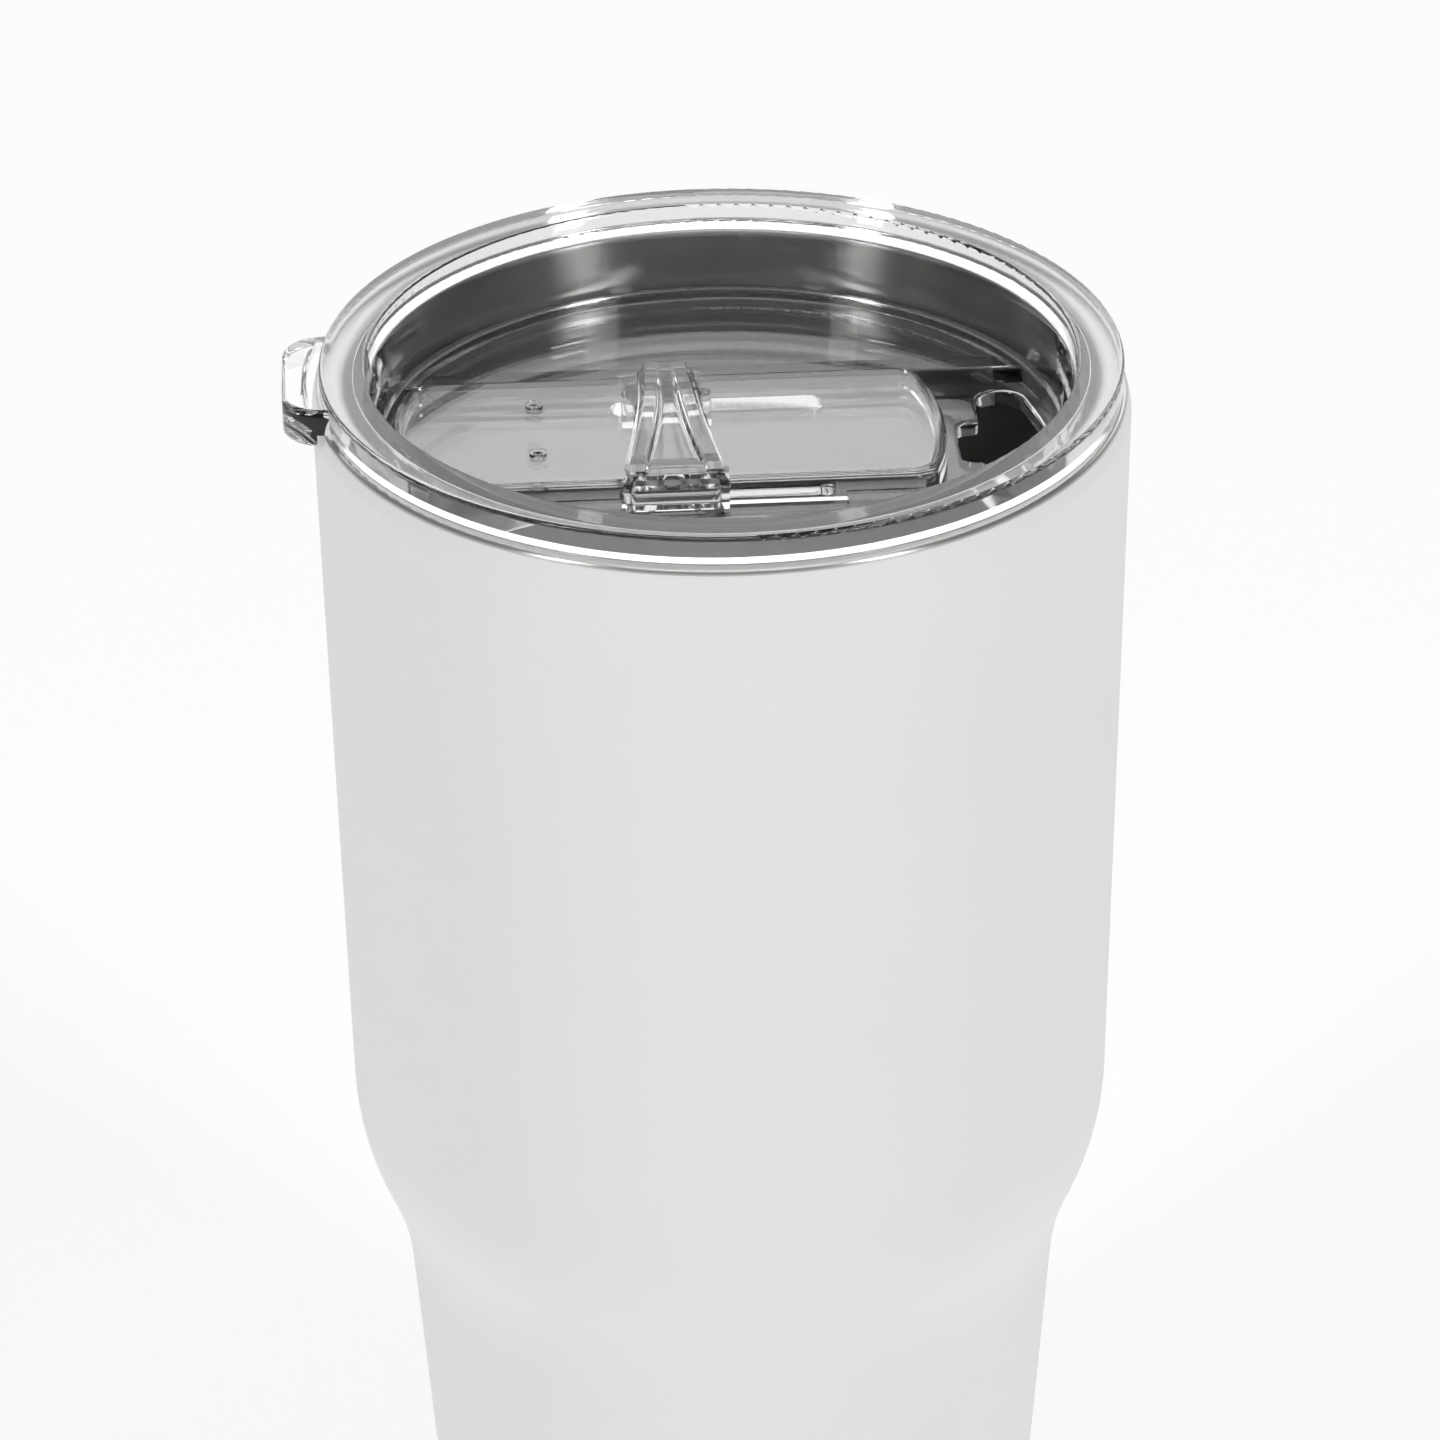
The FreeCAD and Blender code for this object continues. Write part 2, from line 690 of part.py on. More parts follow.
def make_slider():
    """Clear slider: a hollow plate with curved ends, a raised thumb grip and two hooked legs."""
    body = new_body("slider")
    reach = length("slider_end_radius")
    left = length("slider_back") + reach
    right = length("slider_front") - reach
    wall = length("slider_wall")
    pad(body, "plate", slider_base, "slider_height",
        draw_lens, left, right, "slider_end_radius", "slider_half_width")
    round_edges(body, "plate_corners", "slider_corner", lambda edge:
                edge.BoundBox.ZLength > sizes["slider_height"] / 2)
    round_edges(body, "plate_rounds", "slider_edge", lambda edge:
                spans(edge, "z", slider_top.number, slider_top.number))
    pocket(body, "plate_hollow", slider_base, length("slider_height") - "slider_top_wall", True,
           draw_lens, left, right, reach - wall, length("slider_half_width") - wall)
    make_grip(body)
    for name, side in (("rear", 1), ("front", -1)):
        near, far = length("leg_near"), length("leg_far")
        hook = length("hook_far")
        low, high = (near, far) if side > 0 else (-far, -near)
        tip_low, tip_high = (near, hook) if side > 0 else (-hook, -near)
        bottom = slider_base - "leg_drop"
        pad(body, f"leg_{name}", bottom, length("leg_drop") + "slider_height" - "leg_root",
            draw_outline, box_corners("leg_left", "leg_right", low, high, "leg_corner"))
        pad(body, f"hook_{name}", bottom, "hook_height",
            draw_outline, box_corners("leg_left", "leg_right", tip_low, tip_high))
    for name, side in (("rear", 1), ("front", -1)):
        spread = length("pip_spread") if side > 0 else -length("pip_spread")
        pad(body, f"pip_{name}", slider_top - "pip_root", length("pip_height") + "pip_root",
            draw_circle, "pip_offset", spread, "pip_radius")
        pocket(body, f"pip_hollow_{name}", slider_top + "pip_height", "pip_hollow_depth", False,
               draw_circle, "pip_offset", spread, "pip_hollow")


def grip_section(number):
    """One cross-section of the grip in the XZ plane: flared feet, two rails and the dip between them."""
    left, right, top, rail, dip, left_web, right_web = [
        length(f"grip{number}_{measure}") for measure in grip_measures[1:]]
    low = slider_top - "grip_root"
    high = slider_top + top
    step = length("grip_web_step")
    slope = length("grip_dip_slope")
    return [
        (left - left_web, low),
        (right + right_web, low),
        (right + right_web, slider_top),
        (right + step, slider_top + step, "grip_web_round"),
        (right, high, "grip_crest_round"),
        (right - rail, high, "grip_dip_round"),
        (right - rail - slope, high - dip, "grip_dip_round"),
        (left + rail + slope, high - dip, "grip_dip_round"),
        (left + rail, high, "grip_dip_round"),
        (left, high, "grip_crest_round"),
        (left - step, slider_top + step, "grip_web_round"),
        (left - left_web, slider_top),
    ]


def make_grip(body):
    """Thumb grip: flared at the rear edge, wider towards a foot over the front edge."""
    sections = []
    for number in range(len(grip_stations)):
        sketch = new_sketch(body, f"grip_{number}", "XZ_Plane", -length(f"grip{number}_y"))
        draw_outline(sketch, grip_section(number))
        sections.append(sketch)
    doc.recompute()
    loft = body.newObject("PartDesign::AdditiveLoft", "grip")
    loft.Profile = sections[0]
    loft.Sections = sections[1:]
    loft.Ruled = False
    doc.recompute()
    pad(body, "grip_foot", slider_base, length("slider_height") + "grip_foot_top", draw_outline,
        box_corners("grip_foot_left", "grip_foot_right",
                    -length("grip_foot_front"), -length("grip_foot_back")))


make_outer_shell()
make_outer_base()
make_port_seal()
make_base_cover()
make_getter()
make_inner_liner()
make_inner_bottom()
make_foil()
make_lid_body()
make_gasket()
make_slider()
doc.recompute()

failed = [item.Name for item in doc.Objects if {"Invalid", "Error"} & set(item.State)]
if failed:
    raise RuntimeError(f"features not built: {failed}")

os.makedirs("parts", exist_ok=True)
for piece in [item for item in doc.Objects if item.TypeId == "PartDesign::Body"]:
    if piece.Shape.isNull() or not piece.Shape.isValid() or not piece.Shape.Solids:
        raise RuntimeError(f"{piece.Label} has no sound shape")
    piece.Shape.exportStep(f"parts/{piece.Label}.step")
    print(f"{piece.Label}: {len(piece.Shape.Solids)} solid, {piece.Shape.Volume / 1000:.2f} cm3")
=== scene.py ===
import math

import bmesh
import bpy
from mathutils import Matrix, Vector


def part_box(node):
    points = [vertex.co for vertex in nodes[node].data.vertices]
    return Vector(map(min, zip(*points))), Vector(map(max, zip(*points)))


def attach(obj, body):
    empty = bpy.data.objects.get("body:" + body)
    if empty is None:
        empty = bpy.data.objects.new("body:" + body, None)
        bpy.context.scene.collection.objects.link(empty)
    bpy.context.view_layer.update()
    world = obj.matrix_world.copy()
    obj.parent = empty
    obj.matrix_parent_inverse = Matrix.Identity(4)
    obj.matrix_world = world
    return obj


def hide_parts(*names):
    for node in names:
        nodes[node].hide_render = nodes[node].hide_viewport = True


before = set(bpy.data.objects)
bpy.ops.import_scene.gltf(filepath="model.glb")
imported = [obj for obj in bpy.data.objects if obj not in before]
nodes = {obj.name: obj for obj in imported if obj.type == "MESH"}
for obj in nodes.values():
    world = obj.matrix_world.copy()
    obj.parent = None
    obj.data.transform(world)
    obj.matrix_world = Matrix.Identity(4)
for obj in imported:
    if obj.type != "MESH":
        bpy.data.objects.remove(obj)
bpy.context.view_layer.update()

mm = 0.001


def sRGB(hexColour):     # "#rrggbb" to linear RGBA
    parts = [int(hexColour[i:i + 2], 16) / 255 for i in (1, 3, 5)]
    linear = [c / 12.92 if c <= 0.04045 else ((c + 0.055) / 1.055) ** 2.4 for c in parts]
    return (*linear, 1.0)


def addNode(tree, kind, settings=None, links=None, values=None):
    # one node with its settings, its plain input values and the links into it
    node = tree.nodes.new(kind)
    for key, value in (settings or {}).items():
        setattr(node, key, value)
    for key, value in (values or {}).items():
        node.inputs[key].default_value = value
    for key, source in (links or {}).items():
        tree.links.new(source, node.inputs[key])
    return node


view = {
    "distance": 800,       # mm from the middle of the lip to the lens
    "azimuth": -3.2,
    "elevation": 25.99,
    "roll": -0.709,
    "lens": 162.24,
    "aim": (-0.71, 0.04, 152.65),
    "lipOverShell": 0.6,   # mm, the liner's lip stands this far above the shell
    "sensor": 36,
    "nearest": 0.01,       # m
}


def makeCamera(v):
    lip = Vector((0, 0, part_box("outer_shell")[1].z + v["lipOverShell"] * mm))
    a, e = math.radians(v["azimuth"]), math.radians(v["elevation"])
    back = Vector((math.sin(a) * math.cos(e), -math.cos(a) * math.cos(e), math.sin(e)))
    place = lip + back * v["distance"] * mm
    ahead = (Vector(v["aim"]) * mm - place).normalized()
    right = ahead.cross(Vector((0, 0, 1))).normalized()
    up = right.cross(ahead)
    turn = math.radians(v["roll"])
    right, up = (right * math.cos(turn) + up * math.sin(turn),
                 up * math.cos(turn) - right * math.sin(turn))
    camera = bpy.data.objects.new("camera", bpy.data.cameras.new("camera"))
    camera.data.lens = v["lens"]
    camera.data.sensor_width = v["sensor"]
    camera.data.clip_start = v["nearest"]
    camera.matrix_world = Matrix((
        (right.x, up.x, -ahead.x, place.x),
        (right.y, up.y, -ahead.y, place.y),
        (right.z, up.z, -ahead.z, place.z),
        (0, 0, 0, 1),
    ))
    bpy.context.scene.collection.objects.link(camera)
    bpy.context.scene.camera = camera


studio = {
    "sky": "#ffffff",
    "horizon": 0.33,       # strength of the room's light at eye height
    "zenith": 0.25,        # and straight overhead
    "lamps": [
        # name, place (m), size (m), power (W)
        ("softboxBack", (0.1, 1.5, 0.95), (2.2, 0.9), 8.5),
        ("keyRight", (0.9, -0.95, 1.0), (0.27, 0.9), 6),
        ("overhead", (0, -0.15, 1.7), (0.9, 0.7), 4),
        ("fillLeft", (-1.0, -0.8, 1.0), (0.22, 0.9), 5),
    ],
    "lampAim": 0.13,       # m, the height that every lamp faces
    "floor": "#c4c4c4",
    "floorRoughness": 0.9,
    "floorGlow": 0.56,     # keeps the sweep an even white
    "floorReach": 6,       # m, from the middle to each edge
    "floorDrop": 0.2,      # mm below the foot, so that the two never share a plane
    "bounces": 48,         # the rim passes light round and round before it leaves
    "clearBounces": 32,
    "mirrorBounces": 32,
}


def makeStudio(s):
    world = bpy.data.worlds.new("studioSky")
    world.use_nodes = True
    sky = world.node_tree.nodes["Background"]
    sky.inputs["Color"].default_value = sRGB(s["sky"])
    tree = world.node_tree
    way = addNode(tree, "ShaderNodeTexCoord")
    height = addNode(tree, "ShaderNodeSeparateXYZ", links={"Vector": way.outputs["Generated"]})
    fade = addNode(tree, "ShaderNodeMapRange", {"interpolation_type": "SMOOTHSTEP"},
                   {"Value": height.outputs["Z"]},
                   {"To Min": s["horizon"], "To Max": s["zenith"]})
    tree.links.new(fade.outputs["Result"], sky.inputs["Strength"])
    bpy.context.scene.world = world
    for name, place, size, power in s["lamps"]:
        lamp = bpy.data.lights.new(name, "AREA")
        lamp.shape = "RECTANGLE"
        lamp.size, lamp.size_y = size
        lamp.energy = power
        holder = bpy.data.objects.new(name, lamp)
        holder.location = place
        aim = Vector((0, 0, s["lampAim"])) - Vector(place)
        holder.rotation_euler = aim.to_track_quat("-Z", "Y").to_euler()
        bpy.context.scene.collection.objects.link(holder)
    floorMesh = bpy.data.meshes.new("floor")
    reach = s["floorReach"]
    edges = [(-reach, -reach, 0), (reach, -reach, 0), (reach, reach, 0), (-reach, reach, 0)]
    floorMesh.from_pydata(edges, [], [(0, 1, 2, 3)])
    floor = bpy.data.objects.new("floor", floorMesh)
    floor.location.z = -s["floorDrop"] * mm
    bpy.context.scene.collection.objects.link(floor)
    paper = bpy.data.materials.new("whiteSweepPaper")
    paper.use_nodes = True
    shader = paper.node_tree.nodes["Principled BSDF"]
    shader.inputs["Base Color"].default_value = sRGB(s["floor"])
    shader.inputs["Roughness"].default_value = s["floorRoughness"]
    shader.inputs["Emission Color"].default_value = (1, 1, 1, 1)
    shader.inputs["Emission Strength"].default_value = s["floorGlow"]
    floorMesh.materials.append(paper)
    bpy.context.scene.view_settings.view_transform = "Standard"
    bpy.context.scene.view_settings.look = "None"
    bpy.context.scene.cycles.max_bounces = s["bounces"]
    bpy.context.scene.cycles.transmission_bounces = s["clearBounces"]
    bpy.context.scene.cycles.glossy_bounces = s["mirrorBounces"]


makeCamera(view)
makeStudio(studio)
print("camera and studio made")


def startMaterial(name):
    material = bpy.data.materials.new(name)
    material.use_nodes = True
    tree = material.node_tree
    return material, tree, tree.nodes["Principled BSDF"]


def powderCoat():
    # baked polyester powder on steel: matt, with a faint orange peel and a very soft sheen
    material, tree, shader = startMaterial("whitePowderCoat")
    place = addNode(tree, "ShaderNodeTexCoord")
    peel = addNode(tree, "ShaderNodeTexNoise", links={"Vector": place.outputs["Object"]},
                   values={"Scale": 1 / (0.9 * mm), "Detail": 3, "Roughness": 0.55})  # 0.9 mm peel
    grit = addNode(tree, "ShaderNodeTexNoise", links={"Vector": place.outputs["Object"]},
                   values={"Scale": 1 / (0.25 * mm), "Detail": 2})  # 0.25 mm powder grain
    both = addNode(tree, "ShaderNodeMath", {"operation": "MULTIPLY_ADD"},
                   {0: grit.outputs["Fac"], 2: peel.outputs["Fac"]}, {1: 0.5})
    bump = addNode(tree, "ShaderNodeBump", links={"Height": both.outputs[0]},
                   values={"Strength": 0.25, "Distance": 0.02 * mm})
    tone = addNode(tree, "ShaderNodeTexNoise", links={"Vector": place.outputs["Object"]},
                   values={"Scale": 1 / (35 * mm), "Detail": 2})
    colour = addNode(tree, "ShaderNodeMix", {"data_type": "RGBA"}, {"Factor": tone.outputs["Fac"]})
    colour.inputs["A"].default_value = sRGB("#ececec")
    colour.inputs["B"].default_value = sRGB("#efefef")
    rough = addNode(tree, "ShaderNodeMapRange", links={"Value": peel.outputs["Fac"]},
                    values={"To Min": 0.5, "To Max": 0.62})
    tree.links.new(colour.outputs["Result"], shader.inputs["Base Color"])
    tree.links.new(rough.outputs["Result"], shader.inputs["Roughness"])
    tree.links.new(bump.outputs["Normal"], shader.inputs["Normal"])
    shader.inputs["IOR"].default_value = 1.5
    return material


def brushedSteel(name, colourHex, roughLow, roughHigh, lineGap):
    # 18/8 stainless steel brushed round its axis: fine rings that draw each reflection out into a
    # tall streak, over a little grain
    material, tree, shader = startMaterial(name)
    place = addNode(tree, "ShaderNodeTexCoord")
    axes = addNode(tree, "ShaderNodeSeparateXYZ", links={"Vector": place.outputs["Object"]})
    around = addNode(tree, "ShaderNodeMath", {"operation": "ARCTAN2"},
                     {0: axes.outputs["Y"], 1: axes.outputs["X"]})
    along = addNode(tree, "ShaderNodeMath", {"operation": "MULTIPLY"},
                    {0: around.outputs[0]}, {1: 4 * mm})  # an arc of the brush mark, 4 mm per radian
    flat = addNode(tree, "ShaderNodeVectorMath", {"operation": "MULTIPLY"},
                   {0: place.outputs["Object"]}, {1: (1, 1, 0)})
    radius = addNode(tree, "ShaderNodeVectorMath", {"operation": "LENGTH"}, {0: flat.outputs["Vector"]})
    spot = addNode(tree, "ShaderNodeCombineXYZ", links={
        "X": along.outputs[0], "Y": radius.outputs["Value"], "Z": axes.outputs["Z"]})
    lines = addNode(tree, "ShaderNodeTexNoise", links={"Vector": spot.outputs["Vector"]},
                    values={"Scale": 1 / (lineGap * mm), "Detail": 4, "Roughness": 0.7})
    grain = addNode(tree, "ShaderNodeTexNoise", links={"Vector": place.outputs["Object"]},
                    values={"Scale": 1 / (0.3 * mm), "Detail": 2})
    both = addNode(tree, "ShaderNodeMath", {"operation": "MULTIPLY_ADD"},
                   {0: grain.outputs["Fac"], 2: lines.outputs["Fac"]}, {1: 0.7})
    bump = addNode(tree, "ShaderNodeBump", links={"Height": both.outputs[0]},
                   values={"Strength": 0.35, "Distance": 0.012 * mm})
    rough = addNode(tree, "ShaderNodeMapRange", links={"Value": lines.outputs["Fac"]},
                    values={"To Min": roughLow, "To Max": roughHigh})
    tree.links.new(rough.outputs["Result"], shader.inputs["Roughness"])
    tree.links.new(bump.outputs["Normal"], shader.inputs["Normal"])
    shader.inputs["Base Color"].default_value = sRGB(colourHex)
    shader.inputs["Metallic"].default_value = 1.0
    tangent = addNode(tree, "ShaderNodeTangent", {"direction_type": "RADIAL", "axis": "Z"})
    tree.links.new(tangent.outputs["Tangent"], shader.inputs["Tangent"])
    shader.inputs["Anisotropic"].default_value = 0.9
    shader.inputs["Anisotropic Rotation"].default_value = 0.25  # highlights stretch across the rings
    return material


def clearCopolyester():
    # injection-moulded clear copolyester: glassy faces, faint flow ripple and a trace of handling haze
    material, tree, shader = startMaterial("clearCopolyester")
    place = addNode(tree, "ShaderNodeTexCoord")
    flow = addNode(tree, "ShaderNodeTexNoise", links={"Vector": place.outputs["Object"]},
                   values={"Scale": 1 / (14 * mm), "Detail": 1.5, "Roughness": 0.4})
    bump = addNode(tree, "ShaderNodeBump", links={"Height": flow.outputs["Fac"]},
                   values={"Strength": 0.1, "Distance": 0.1 * mm})
    rough = addNode(tree, "ShaderNodeMapRange", links={"Value": flow.outputs["Fac"]},
                    values={"To Min": 0.01, "To Max": 0.04})
    tree.links.new(rough.outputs["Result"], shader.inputs["Roughness"])
    tree.links.new(bump.outputs["Normal"], shader.inputs["Normal"])
    shader.inputs["Base Color"].default_value = sRGB("#fbfbfb")
    shader.inputs["Transmission Weight"].default_value = 1.0
    shader.inputs["IOR"].default_value = 1.5
    depth = addNode(tree, "ShaderNodeVolumeAbsorption", values={"Density": 26})
    depth.inputs["Color"].default_value = sRGB("#a6a6a6")     # greys the thick rim, not the thin floor
    tree.links.new(depth.outputs["Volume"], tree.nodes["Material Output"].inputs["Volume"])
    return material


def silicone():
    # translucent food-grade silicone: soft, slightly milky, dull skin
    material, tree, shader = startMaterial("translucentSilicone")
    place = addNode(tree, "ShaderNodeTexCoord")
    skin = addNode(tree, "ShaderNodeTexNoise", links={"Vector": place.outputs["Object"]},
                   values={"Scale": 1 / (0.5 * mm), "Detail": 3})
    bump = addNode(tree, "ShaderNodeBump", links={"Height": skin.outputs["Fac"]},
                   values={"Strength": 0.2, "Distance": 0.02 * mm})
    rough = addNode(tree, "ShaderNodeMapRange", links={"Value": skin.outputs["Fac"]},
                    values={"To Min": 0.3, "To Max": 0.45})
    tree.links.new(rough.outputs["Result"], shader.inputs["Roughness"])
    tree.links.new(bump.outputs["Normal"], shader.inputs["Normal"])
    shader.inputs["Base Color"].default_value = sRGB("#e9e9e9")
    shader.inputs["Transmission Weight"].default_value = 0.85
    shader.inputs["IOR"].default_value = 1.41
    return material


def dullPart(name, colourHex, metallic, low, high, grainSize):
    # a plain inner part: its grain size, in mm, drives both its bump and its roughness
    material, tree, shader = startMaterial(name)
    place = addNode(tree, "ShaderNodeTexCoord")
    grain = addNode(tree, "ShaderNodeTexNoise", links={"Vector": place.outputs["Object"]},
                    values={"Scale": 1 / (grainSize * mm), "Detail": 4})
    bump = addNode(tree, "ShaderNodeBump", links={"Height": grain.outputs["Fac"]},
                   values={"Strength": 0.4, "Distance": 0.05 * mm})
    rough = addNode(tree, "ShaderNodeMapRange", links={"Value": grain.outputs["Fac"]},
                    values={"To Min": low, "To Max": high})
    tree.links.new(rough.outputs["Result"], shader.inputs["Roughness"])
    tree.links.new(bump.outputs["Normal"], shader.inputs["Normal"])
    shader.inputs["Base Color"].default_value = sRGB(colourHex)
    shader.inputs["Metallic"].default_value = metallic
    return material


coat = powderCoat()
linerSteel = brushedSteel("brushedStainless", "#c9c9c7", 0.24, 0.36, 0.12)
panSteel = brushedSteel("pickledStainless", "#b4b4b1", 0.38, 0.5, 0.3)
clear = clearCopolyester()
rubber = silicone()
print("materials made")


def roundCorners(corners, step=6):
    # outline through (radius, height) or (radius, height, rounding) corners, in mm, arcs every step degrees
    points = []
    count = len(corners)
    for i, corner in enumerate(corners):
        here = Vector(corner[:2])
        if len(corner) < 3:
            points.append(here)
            continue
        back = (Vector(corners[i - 1][:2]) - here).normalized()
        ahead = (Vector(corners[(i + 1) % count][:2]) - here).normalized()
        half = back.angle(ahead) / 2
        middle = here + (back + ahead).normalized() * corner[2] / math.sin(half)
        start = here + back * corner[2] / math.tan(half) - middle
        sweep = math.pi - 2 * half
        if back.cross(ahead) > 0:
            sweep = -sweep
        pieces = max(2, math.ceil(abs(math.degrees(sweep)) / step))
        for k in range(pieces + 1):
            turned = Matrix.Rotation(sweep * k / pieces, 2) @ start
            points.append(middle + turned)
    return points


def turningTree():
    # revolves the incoming points, a closed outline in the XZ plane, about the Z axis
    tree = bpy.data.node_groups.new("turnedOutline", "GeometryNodeTree")
    face = tree.interface
    face.new_socket("Outline", in_out="INPUT", socket_type="NodeSocketGeometry")
    face.new_socket("Steps", in_out="INPUT", socket_type="NodeSocketInt")
    face.new_socket("Corner angle", in_out="INPUT", socket_type="NodeSocketFloat")
    face.new_socket("Finish", in_out="INPUT", socket_type="NodeSocketMaterial")
    face.new_socket("Turned", in_out="OUTPUT", socket_type="NodeSocketGeometry")
    given = addNode(tree, "NodeGroupInput")
    size = addNode(tree, "GeometryNodeAttributeDomainSize", links={"Geometry": given.outputs["Outline"]})
    rows = addNode(tree, "ShaderNodeMath", {"operation": "ADD"},
                   {0: size.outputs["Point Count"]}, {1: 1})
    columns = addNode(tree, "ShaderNodeMath", {"operation": "ADD"}, {0: given.outputs["Steps"]}, {1: 1})
    grid = addNode(tree, "GeometryNodeMeshGrid",
                   links={"Vertices X": columns.outputs[0], "Vertices Y": rows.outputs[0]})
    index = addNode(tree, "GeometryNodeInputIndex")
    column = addNode(tree, "ShaderNodeMath", {"operation": "DIVIDE"},
                     {0: index.outputs[0], 1: rows.outputs[0]})
    whole = addNode(tree, "ShaderNodeMath", {"operation": "FLOOR"}, {0: column.outputs[0]})
    row = addNode(tree, "ShaderNodeMath", {"operation": "MODULO"},
                  {0: index.outputs[0], 1: rows.outputs[0]})
    closed = addNode(tree, "ShaderNodeMath", {"operation": "MODULO"},
                     {0: row.outputs[0], 1: size.outputs["Point Count"]})
    share = addNode(tree, "ShaderNodeMath", {"operation": "DIVIDE"},
                    {0: whole.outputs[0], 1: given.outputs["Steps"]})
    angle = addNode(tree, "ShaderNodeMath", {"operation": "MULTIPLY"},
                    {0: share.outputs[0]}, {1: 2 * math.pi})
    place = addNode(tree, "GeometryNodeInputPosition")
    sample = addNode(tree, "GeometryNodeSampleIndex", {"data_type": "FLOAT_VECTOR"},
                     {"Geometry": given.outputs["Outline"], "Value": place.outputs[0],
                      "Index": closed.outputs[0]})
    turned = addNode(tree, "ShaderNodeVectorRotate", {"rotation_type": "Z_AXIS"},
                     {"Vector": sample.outputs[0], "Angle": angle.outputs[0]})
    moved = addNode(tree, "GeometryNodeSetPosition",
                    links={"Geometry": grid.outputs["Mesh"], "Position": turned.outputs["Vector"]})
    joined = addNode(tree, "GeometryNodeMergeByDistance", links={"Geometry": moved.outputs[0]},
                     values={"Distance": 0.001 * mm})
    edge = addNode(tree, "GeometryNodeInputMeshEdgeAngle")
    sharp = addNode(tree, "FunctionNodeCompare", {"data_type": "FLOAT", "operation": "GREATER_THAN"},
                    {"A": edge.outputs["Unsigned Angle"], "B": given.outputs["Corner angle"]})
    creased = addNode(tree, "GeometryNodeSetShadeSmooth", {"domain": "FACE"},
                      {"Geometry": joined.outputs[0]}, {"Shade Smooth": True})
    notSharp = addNode(tree, "FunctionNodeBooleanMath", {"operation": "NOT"}, {0: sharp.outputs[0]})
    smooth = addNode(tree, "GeometryNodeSetShadeSmooth", {"domain": "EDGE"},
                     {"Geometry": creased.outputs[0], "Shade Smooth": notSharp.outputs[0]})
    real = addNode(tree, "GeometryNodeRealizeInstances", links={"Geometry": smooth.outputs[0]})
    finished = addNode(tree, "GeometryNodeSetMaterial",
                       links={"Geometry": real.outputs[0], "Material": given.outputs["Finish"]})
    addNode(tree, "NodeGroupOutput", links={"Turned": finished.outputs[0]})
    return tree


turning = turningTree()


def setInput(modifier, name, value):
    for item in modifier.node_group.interface.items_tree:
        if item.item_type == "SOCKET" and item.in_out == "INPUT" and item.name == name:
            modifier[item.identifier] = value


def bakeModifiers(piece):
    # the evaluated mesh, with its material and no modifier left
    shown = piece.evaluated_get(bpy.context.evaluated_depsgraph_get())
    solid = bpy.data.meshes.new_from_object(shown)
    solid.name = piece.name
    piece.modifiers.clear()
    piece.data = solid
    shape = bmesh.new()
    shape.from_mesh(solid)
    bmesh.ops.recalc_face_normals(shape, faces=shape.faces)
    shape.to_mesh(solid)
    shape.free()


def turnedPiece(name, corners, finish, steps=256, step=6, cornerAngle=32):
    points = roundCorners(corners, step)
    outline = bpy.data.meshes.new(name)
    outline.from_pydata([(p.x * mm, 0, p.y * mm) for p in points], [], [])
    piece = bpy.data.objects.new(name, outline)
    bpy.context.scene.collection.objects.link(piece)
    modifier = piece.modifiers.new("turning", "NODES")
    modifier.node_group = turning
    setInput(modifier, "Steps", steps)
    setInput(modifier, "Corner angle", math.radians(cornerAngle))
    setInput(modifier, "Finish", finish)
    bakeModifiers(piece)
    return piece


def finishPiece(piece, body, slot, *replaced):
    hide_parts(*replaced)
    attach(piece, body)
    print("made", piece.name, len(piece.data.polygons), "faces")


cup = {
    "foot": 36.7, "footInside": 33.6, "footRound": 1.6,
    "neck": (42.71, 82.33, 43.0),
    "shoulder": (48.66, 96.84, 35.0),
    "mouth": (50.45, 197.6, 5.0),
    "lip": 49.95, "lipHeight": 200.0, "lipPlate": 0.6,
    "wall": 0.8,
    "footEdge": 0.2, "lipCorner": 0.15, "footTurn": 1.0,
}


def makeOuterShell(c):
    top = c["lipHeight"] - c["lipPlate"]
    w = c["wall"]
    bends = [c["neck"], c["shoulder"], c["mouth"]]
    inner = [(r - w, z, bend) for r, z, bend in reversed(bends)]
    corners = [(c["footInside"], 0, c["footEdge"]), (c["foot"], 0, c["footRound"]), *bends,
               (c["lip"], top, c["lipCorner"]), (c["lip"] - w, top), *inner,
               (c["foot"] - w, w, c["footTurn"]), (c["footInside"], w)]
    finishPiece(turnedPiece("outerShell", corners, coat, step=3), "cup", "powder_coat", "outer_shell")


liner = {
    "wall": 0.6,
    "bottom": (31.9, 12.0),
    "neck": (37.31, 82.33, 43.0),
    "shoulder": (44.9, 96.84, 35.0),
    "mouth": 46.2, "lipRound": 1.4, "lipEdge": 0.55, "lipUnder": 0.9,
}


def makeInnerLiner(c, line):
    w = line["wall"]
    under = c["lipHeight"] - c["lipPlate"]
    bends = [line["neck"], line["shoulder"]]
    outer = [(r + w, z, bend) for r, z, bend in bends]
    corners = [(line["bottom"][0] + w, line["bottom"][1]), *outer,
               (line["mouth"] + w, under, line["lipUnder"]), (c["lip"], under),
               (c["lip"], c["lipHeight"], line["lipEdge"]),
               (line["mouth"], c["lipHeight"], line["lipRound"]), *reversed(bends), line["bottom"]]
    piece = turnedPiece("innerLiner", corners, linerSteel, step=3)
    finishPiece(piece, "cup", "brushed_steel", "inner_liner")


makeOuterShell(cup)
makeInnerLiner(cup, liner)


weldGap = 0.0005 * mm     # points closer than this are one point


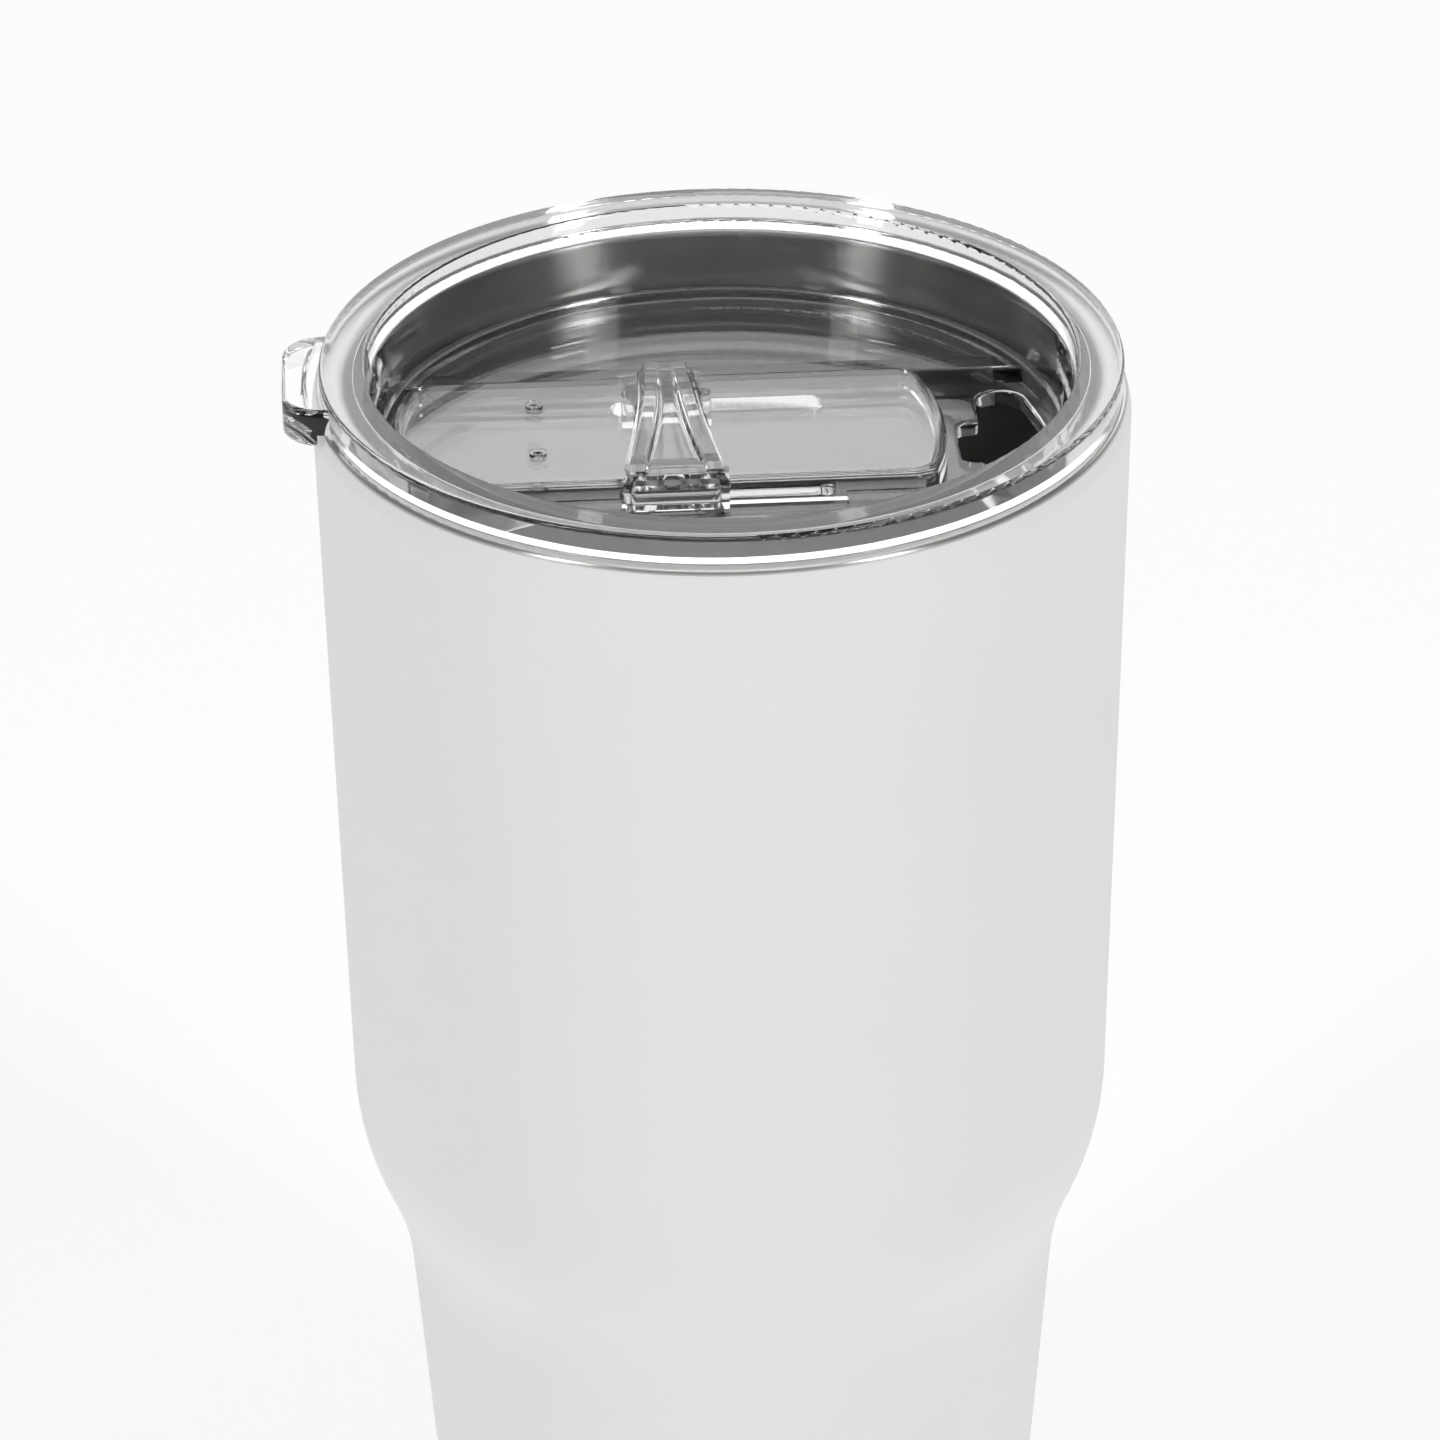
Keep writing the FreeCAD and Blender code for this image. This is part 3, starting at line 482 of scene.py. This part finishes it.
def cleanCopy(node, name, finish, sharpAngle=35):
    # the node's own surface with its loose triangles joined, so that light bends through it smoothly
    mesh = nodes[node].data.copy()
    mesh.name = name
    mesh.materials.clear()
    mesh.materials.append(finish)
    shape = bmesh.new()
    shape.from_mesh(mesh)
    bmesh.ops.remove_doubles(shape, verts=shape.verts, dist=weldGap)
    bmesh.ops.dissolve_degenerate(shape, edges=shape.edges, dist=weldGap)
    bmesh.ops.recalc_face_normals(shape, faces=shape.faces)
    for edge in shape.edges:
        edge.smooth = edge.calc_face_angle(0) < math.radians(sharpAngle)
    for face in shape.faces:
        face.smooth = True
        face.material_index = 0
    shape.to_mesh(mesh)
    shape.free()
    if "custom_normal" in mesh.attributes:
        mesh.attributes.remove(mesh.attributes["custom_normal"])
    piece = bpy.data.objects.new(name, mesh)
    bpy.context.scene.collection.objects.link(piece)
    weighted = piece.modifiers.new("flatNormals", "WEIGHTED_NORMAL")
    weighted.keep_sharp = True
    weighted.mode = "FACE_AREA"
    return piece


finishPiece(cleanCopy("lid_body", "lidShell", clear), "lid", "clear_plastic", "lid_body")
finishPiece(cleanCopy("slider", "sliderCover", clear), "slider", "clear_plastic", "slider")


gasket = {
    "inside": 44.25, "web": 45.15, "lip": 45.95,
    "low": 189.15, "high": 192.05,
    "thick": 0.7, "lipRound": 0.25, "webRound": 0.2,
}


def makeGasket(g):
    tip, root = g["lipRound"], g["webRound"]
    lowTop = g["low"] + g["thick"]
    highUnder = g["high"] - g["thick"]
    corners = [(g["inside"], g["low"]), (g["lip"], g["low"], tip), (g["lip"], lowTop, tip),
               (g["web"], lowTop, root), (g["web"], highUnder, root),
               (g["lip"], highUnder, tip), (g["lip"], g["high"], tip), (g["inside"], g["high"])]
    finishPiece(turnedPiece("lidGasket", corners, rubber, step=20), "gasket", "silicone", "lid_gasket")


makeGasket(gasket)


kept = {
    "outer_base": panSteel,
    "base_cover": linerSteel,
    "inner_bottom": linerSteel,
    "getter_clip": panSteel,
    "getter": dullPart("sinteredGetter", "#55534f", 0.6, 0.7, 0.9, 0.2),
    "liner_foil": dullPart("copperFoil", "#c98a62", 1.0, 0.2, 0.35, 1.5),
    "vacuum_port_seal": dullPart("glassSolder", "#4a4f4a", 0.0, 0.15, 0.3, 0.6),
}
for node, finish in kept.items():
    mesh = nodes[node].data
    mesh.materials.clear()
    mesh.materials.append(finish)
    for face in mesh.polygons:
        face.material_index = 0
print("base and inner parts finished")
